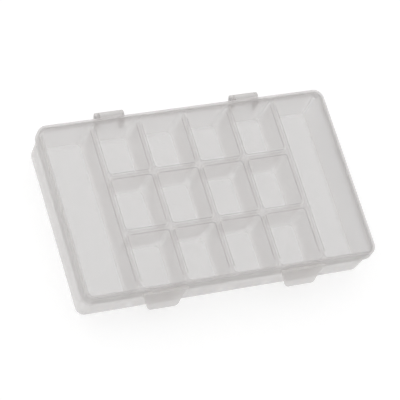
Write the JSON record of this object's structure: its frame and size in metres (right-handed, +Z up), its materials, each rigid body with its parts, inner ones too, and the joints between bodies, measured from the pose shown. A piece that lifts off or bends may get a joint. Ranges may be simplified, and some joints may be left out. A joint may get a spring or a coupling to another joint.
{
  "type": "bead organizer box",
  "caption": "Shallow frosted plastic compartment box for beads, with fixed dividers and one hinged lid held shut by snap latches at the front.",
  "frame": {"origin": "centre of the tray's flat underside, on the surface that the box stands on", "axes": "+X along the long side to the right, +Y to the hinges at the back, +Z up"},
  "size_m": [0.178, 0.12, 0.0285],
  "materials": {
    "tray_pp": "natural translucent polypropylene, fine frosted moulded finish",
    "lid_pp": "natural translucent polypropylene, fine frosted moulded finish",
    "latch_pp": "natural translucent polypropylene, fine frosted moulded finish",
    "pin_steel": "plain drawn steel wire"
  },
  "bodies": {
    "tray": {"tray": "tray_pp", "hinge_pin_left": "pin_steel", "hinge_pin_right": "pin_steel"},
    "lid": {"lid": "lid_pp"},
    "latch_left": {"latch_left": "latch_pp"},
    "latch_right": {"latch_right": "latch_pp"}
  },
  "joints": [
    {"name": "lid_hinge", "type": "hinge", "parent": "tray", "child": "lid", "pos_m": [0, 0.0574, 0.0204], "axis": [-1, 0, 0], "range_deg": [0, 180]},
    {"name": "latch_left_hinge", "type": "hinge", "parent": "lid", "child": "latch_left", "pos_m": [-0.042, -0.05475, 0.0248], "axis": [-1, 0, 0], "range_deg": [0, 100]},
    {"name": "latch_right_hinge", "type": "hinge", "parent": "lid", "child": "latch_right", "pos_m": [0.042, -0.05475, 0.0248], "axis": [-1, 0, 0], "range_deg": [0, 100]}
  ]
}
